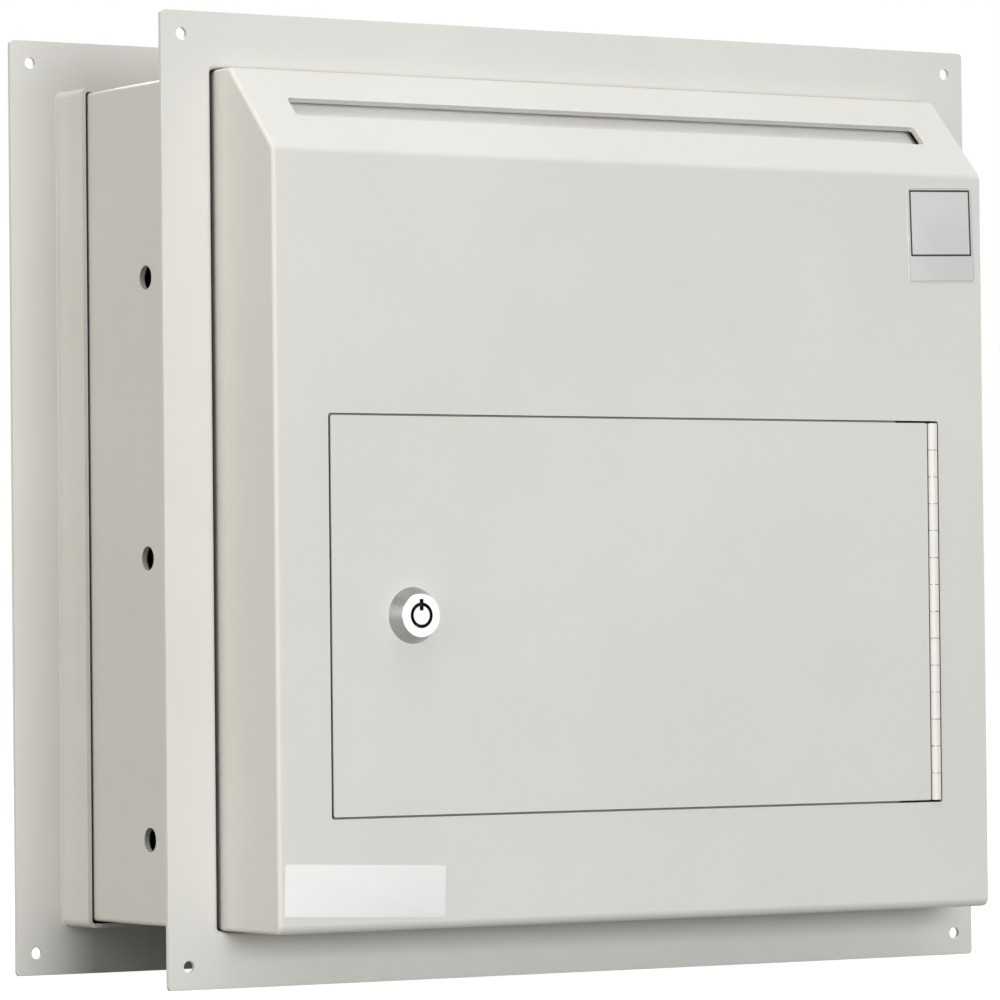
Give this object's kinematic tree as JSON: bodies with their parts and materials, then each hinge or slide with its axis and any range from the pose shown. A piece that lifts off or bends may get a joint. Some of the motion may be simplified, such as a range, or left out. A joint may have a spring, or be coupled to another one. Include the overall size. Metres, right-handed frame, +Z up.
{
  "type": "through-the-wall drop box",
  "caption": "Steel drop box set through a wall: deposit slot and locked hinged door outside, and a sliding inside unit with its own flange and locked door.",
  "frame": {"origin": "middle of the outside flange's back face, on the outside wall face", "axes": "+Z up, +Y into the wall towards the inside of the building, +X to the right as seen from outside"},
  "size_m": [0.438, 0.2552, 0.432],
  "materials": {
    "box_paint": "powder coat, semi-gloss, fine texture",
    "flange_paint": "powder coat, semi-gloss, fine texture",
    "door_paint": "powder coat, semi-gloss, fine texture",
    "baffle_paint": "powder coat, semi-gloss",
    "stop_paint": "powder coat, semi-gloss",
    "hinge_paint": "powder coat over rolled steel",
    "hinge_steel": "bright drawn wire",
    "lock_housing": "satin chrome, turned",
    "lock_core": "satin chrome, turned",
    "tumbler_brass": "plain brass",
    "zinc_hardware": "bright zinc plate"
  },
  "bodies": {
    "main_box": {"box_wrap": "box_paint", "box_side_left": "box_paint", "box_side_right": "box_paint", "front_flange": "flange_paint", "deposit_baffle": "baffle_paint", "front_door_stop": "stop_paint", "front_hinge_frame_leaf": "hinge_paint", "front_hinge_pin": "hinge_steel"},
    "front_door": {"front_door_panel": "door_paint", "front_hinge_door_leaf": "hinge_paint", "front_lock_body": "lock_housing", "front_lock_nut": "zinc_hardware"},
    "front_lock_core": {"front_lock_plug": "lock_core", "front_lock_tumblers": "tumbler_brass", "front_lock_cam": "zinc_hardware", "front_lock_cam_washer": "zinc_hardware", "front_lock_cam_nut": "zinc_hardware"},
    "rear_unit": {"rear_flange": "flange_paint", "rear_pan": "box_paint", "rear_door_stop": "stop_paint", "rear_hinge_frame_leaf": "hinge_paint", "rear_hinge_pin": "hinge_steel"},
    "rear_door": {"rear_door_panel": "door_paint", "rear_hinge_door_leaf": "hinge_paint", "rear_lock_body": "lock_housing", "rear_lock_nut": "zinc_hardware"},
    "rear_lock_core": {"rear_lock_plug": "lock_core", "rear_lock_tumblers": "tumbler_brass", "rear_lock_cam": "zinc_hardware", "rear_lock_cam_washer": "zinc_hardware", "rear_lock_cam_nut": "zinc_hardware"}
  },
  "joints": [
    {"name": "front_door_hinge", "type": "hinge", "parent": "main_box", "child": "front_door", "pos_m": [0.16175, -0.05185, -0.0521], "axis": [0, 0, 1], "range_deg": [0, 125]},
    {"name": "front_lock_turn", "type": "hinge", "parent": "front_door", "child": "front_lock_core", "pos_m": [-0.1229, -0.0528, -0.0521], "axis": [0, 1, 0], "range_deg": [0, 90]},
    {"name": "wall_adjust", "type": "slide", "parent": "main_box", "child": "rear_unit", "axis": [0, 1, 0], "range_m": [-0.02235, 0.02845]},
    {"name": "rear_door_hinge", "type": "hinge", "parent": "rear_unit", "child": "rear_door", "pos_m": [-0.16175, 0.18605, -0.0521], "axis": [0, 0, 1], "range_deg": [0, 125]},
    {"name": "rear_lock_turn", "type": "hinge", "parent": "rear_door", "child": "rear_lock_core", "pos_m": [0.1229, 0.187, -0.0521], "axis": [0, -1, 0], "range_deg": [0, 90]}
  ]
}
